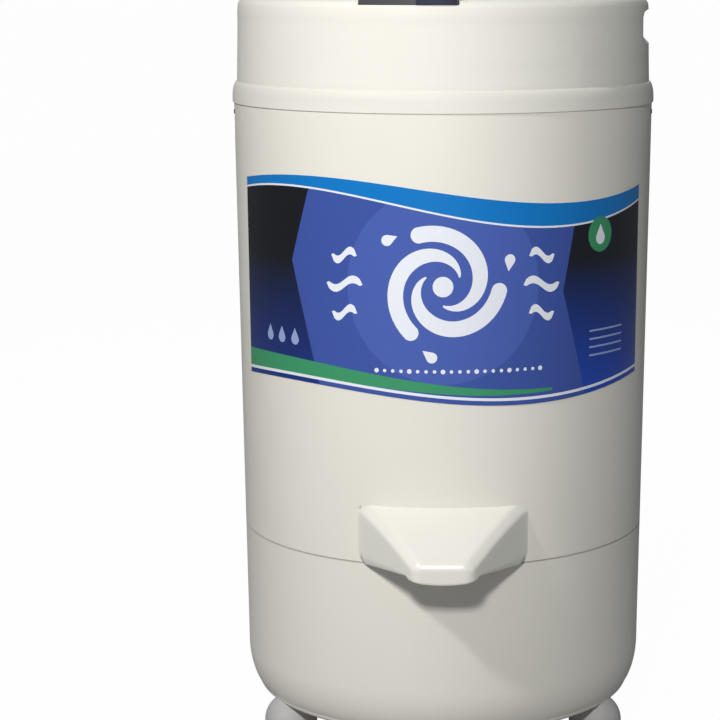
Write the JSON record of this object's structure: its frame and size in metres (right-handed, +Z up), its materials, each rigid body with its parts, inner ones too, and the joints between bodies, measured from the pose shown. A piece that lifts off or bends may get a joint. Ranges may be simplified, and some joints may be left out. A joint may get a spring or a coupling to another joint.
{
  "type": "laundry spin dryer",
  "caption": "Free-standing round spin dryer with a tapered white casing, hinged lid, perforated drum on a suspended motor, and a front drain spout.",
  "frame": {"origin": "at floor level, under the middle of the bounding box; the drum axis is parallel to Z, 24.8 mm behind it", "axes": "+Z up along the drum axis, -Y towards the front with the spout, +X to the right seen from the front"},
  "size_m": [0.3737, 0.4234, 0.67],
  "materials": {
    "black_rubber": "moulded rubber, matte",
    "cast_aluminium": "die-cast",
    "copper_winding": "varnished winding",
    "dark_screw": "dark screws",
    "drum_steel": "rolled stainless sheet",
    "foot_rubber": "moulded rubber, matte",
    "inner_plastic": "moulded polypropylene, satin",
    "label_print": "printed vinyl sticker, satin",
    "lamination_steel": "stacked laminations",
    "latch_grey": "moulded plastic, satin",
    "latch_navy": "moulded plastic, semi-gloss",
    "lid_white": "moulded polypropylene, satin",
    "lining": "brake lining",
    "plate_steel": "pressed and painted steel",
    "seal_rubber": "extruded rubber, matte",
    "shell_white": "moulded polypropylene, satin",
    "spout_white": "moulded plastic, semi-gloss",
    "switch_body": "moulded plastic",
    "switch_button": "moulded plastic",
    "zinc_steel": "zinc-plated steel"
  },
  "bodies": {
    "root": {"base_shell": "shell_white", "upper_body": "shell_white", "top_collar": "shell_white", "label": "label_print", "spout": "spout_white", "spout_screws": "zinc_steel", "feet": "foot_rubber", "foot_screws": "zinc_steel", "collar_screws": "dark_screw", "hinge_pins": "zinc_steel", "latch_track": "latch_grey", "catch_basin": "inner_plastic", "drain_tube": "black_rubber", "shaft_boot": "black_rubber", "motor_plate": "plate_steel", "motor_upper_shield": "cast_aluminium", "motor_lower_shield": "cast_aluminium", "stator_core": "lamination_steel", "stator_windings": "copper_winding", "upper_bearing": "zinc_steel", "lower_bearing": "zinc_steel", "motor_bolts": "zinc_steel", "rubber_mounts": "black_rubber", "mount_bolts": "zinc_steel", "run_capacitor": "inner_plastic", "capacitor_clip": "zinc_steel", "brake_pivot": "zinc_steel", "brake_cable": "black_rubber", "lid_switch": "switch_body", "cord_gland": "shell_white"},
    "lid_body": {"lid": "lid_white", "lid_catch": "latch_grey", "lid_seal": "seal_rubber"},
    "latch_slider_body": {"latch_slider": "latch_navy"},
    "drum_body": {"drum_wall": "drum_steel", "drum_base": "drum_steel", "balance_ring": "inner_plastic", "drum_hub": "cast_aluminium", "drum_nut": "zinc_steel", "hub_cap": "inner_plastic", "drum_shaft": "zinc_steel", "rotor": "lamination_steel", "brake_drum": "cast_aluminium"},
    "brake_arm_body": {"brake_arm": "plate_steel", "brake_lining": "lining"},
    "switch_plunger_body": {"switch_plunger": "switch_button"}
  },
  "joints": [
    {"name": "lid_hinge", "type": "hinge", "parent": "root", "child": "lid_body", "pos_m": [0, 0.18881, 0.6646], "axis": [-1, 0, 0], "range_deg": [0, 95]},
    {"name": "latch_slide", "type": "hinge", "parent": "root", "child": "latch_slider_body", "pos_m": [0, 0.02481, 0.66], "axis": [0, 0, -1], "range_deg": [0, 14.4]},
    {"name": "drum_spin", "type": "hinge", "parent": "root", "child": "drum_body", "pos_m": [0, 0.02481, 0.226], "axis": [0, 0, 1], "continuous": true},
    {"name": "brake_swing", "type": "hinge", "parent": "root", "child": "brake_arm_body", "pos_m": [-0.056, 0.05481, 0.052], "axis": [0, 0, 1], "range_deg": [0, 4.2]},
    {"name": "switch_press", "type": "slide", "parent": "root", "child": "switch_plunger_body", "axis": [0, 0, 1], "range_m": [0, 0.0041]}
  ],
  "couplings": [
    {"joint": "brake_swing", "follows": "lid_hinge", "ratio": 0.04416},
    {"joint": "switch_press", "follows": "lid_hinge", "m_per_rad": 0.002412}
  ]
}
